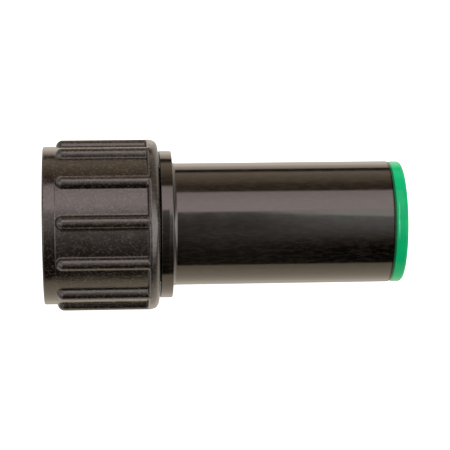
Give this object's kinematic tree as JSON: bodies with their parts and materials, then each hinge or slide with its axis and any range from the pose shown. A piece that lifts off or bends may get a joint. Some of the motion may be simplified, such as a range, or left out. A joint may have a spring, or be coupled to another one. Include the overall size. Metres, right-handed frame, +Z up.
{
  "type": "swivel compression adapter",
  "caption": "Irrigation adapter: a ribbed swivel nut with a female garden-hose thread on a long round socket whose coloured ring grips polyethylene tube.",
  "frame": {"origin": "on the fitting's axis, at the centre of the swivel nut's open front rim", "axes": "+X along the fitting's axis from the nut's mouth to the tube socket's mouth, +Z up with the fitting lying on its side"},
  "size_m": [0.0719, 0.0342, 0.0342],
  "materials": {
    "nut_plastic": "black polypropylene, fine spark-eroded grain",
    "body_plastic": "black, smooth polished moulding",
    "washer_rubber": "matt black rubber",
    "screen_wire": "woven stainless steel wire",
    "ring_plastic": "green, satin-gloss moulding"
  },
  "bodies": {
    "adapter_body": {"body": "body_plastic", "compression_ring": "ring_plastic"},
    "hose_nut": {"swivel_nut": "nut_plastic", "hose_washer": "washer_rubber", "filter_screen": "screen_wire"}
  },
  "joints": [
    {"name": "nut_swivel", "type": "hinge", "parent": "adapter_body", "child": "hose_nut", "pos_m": [0, 0, 0], "axis": [1, 0, 0], "continuous": true}
  ]
}
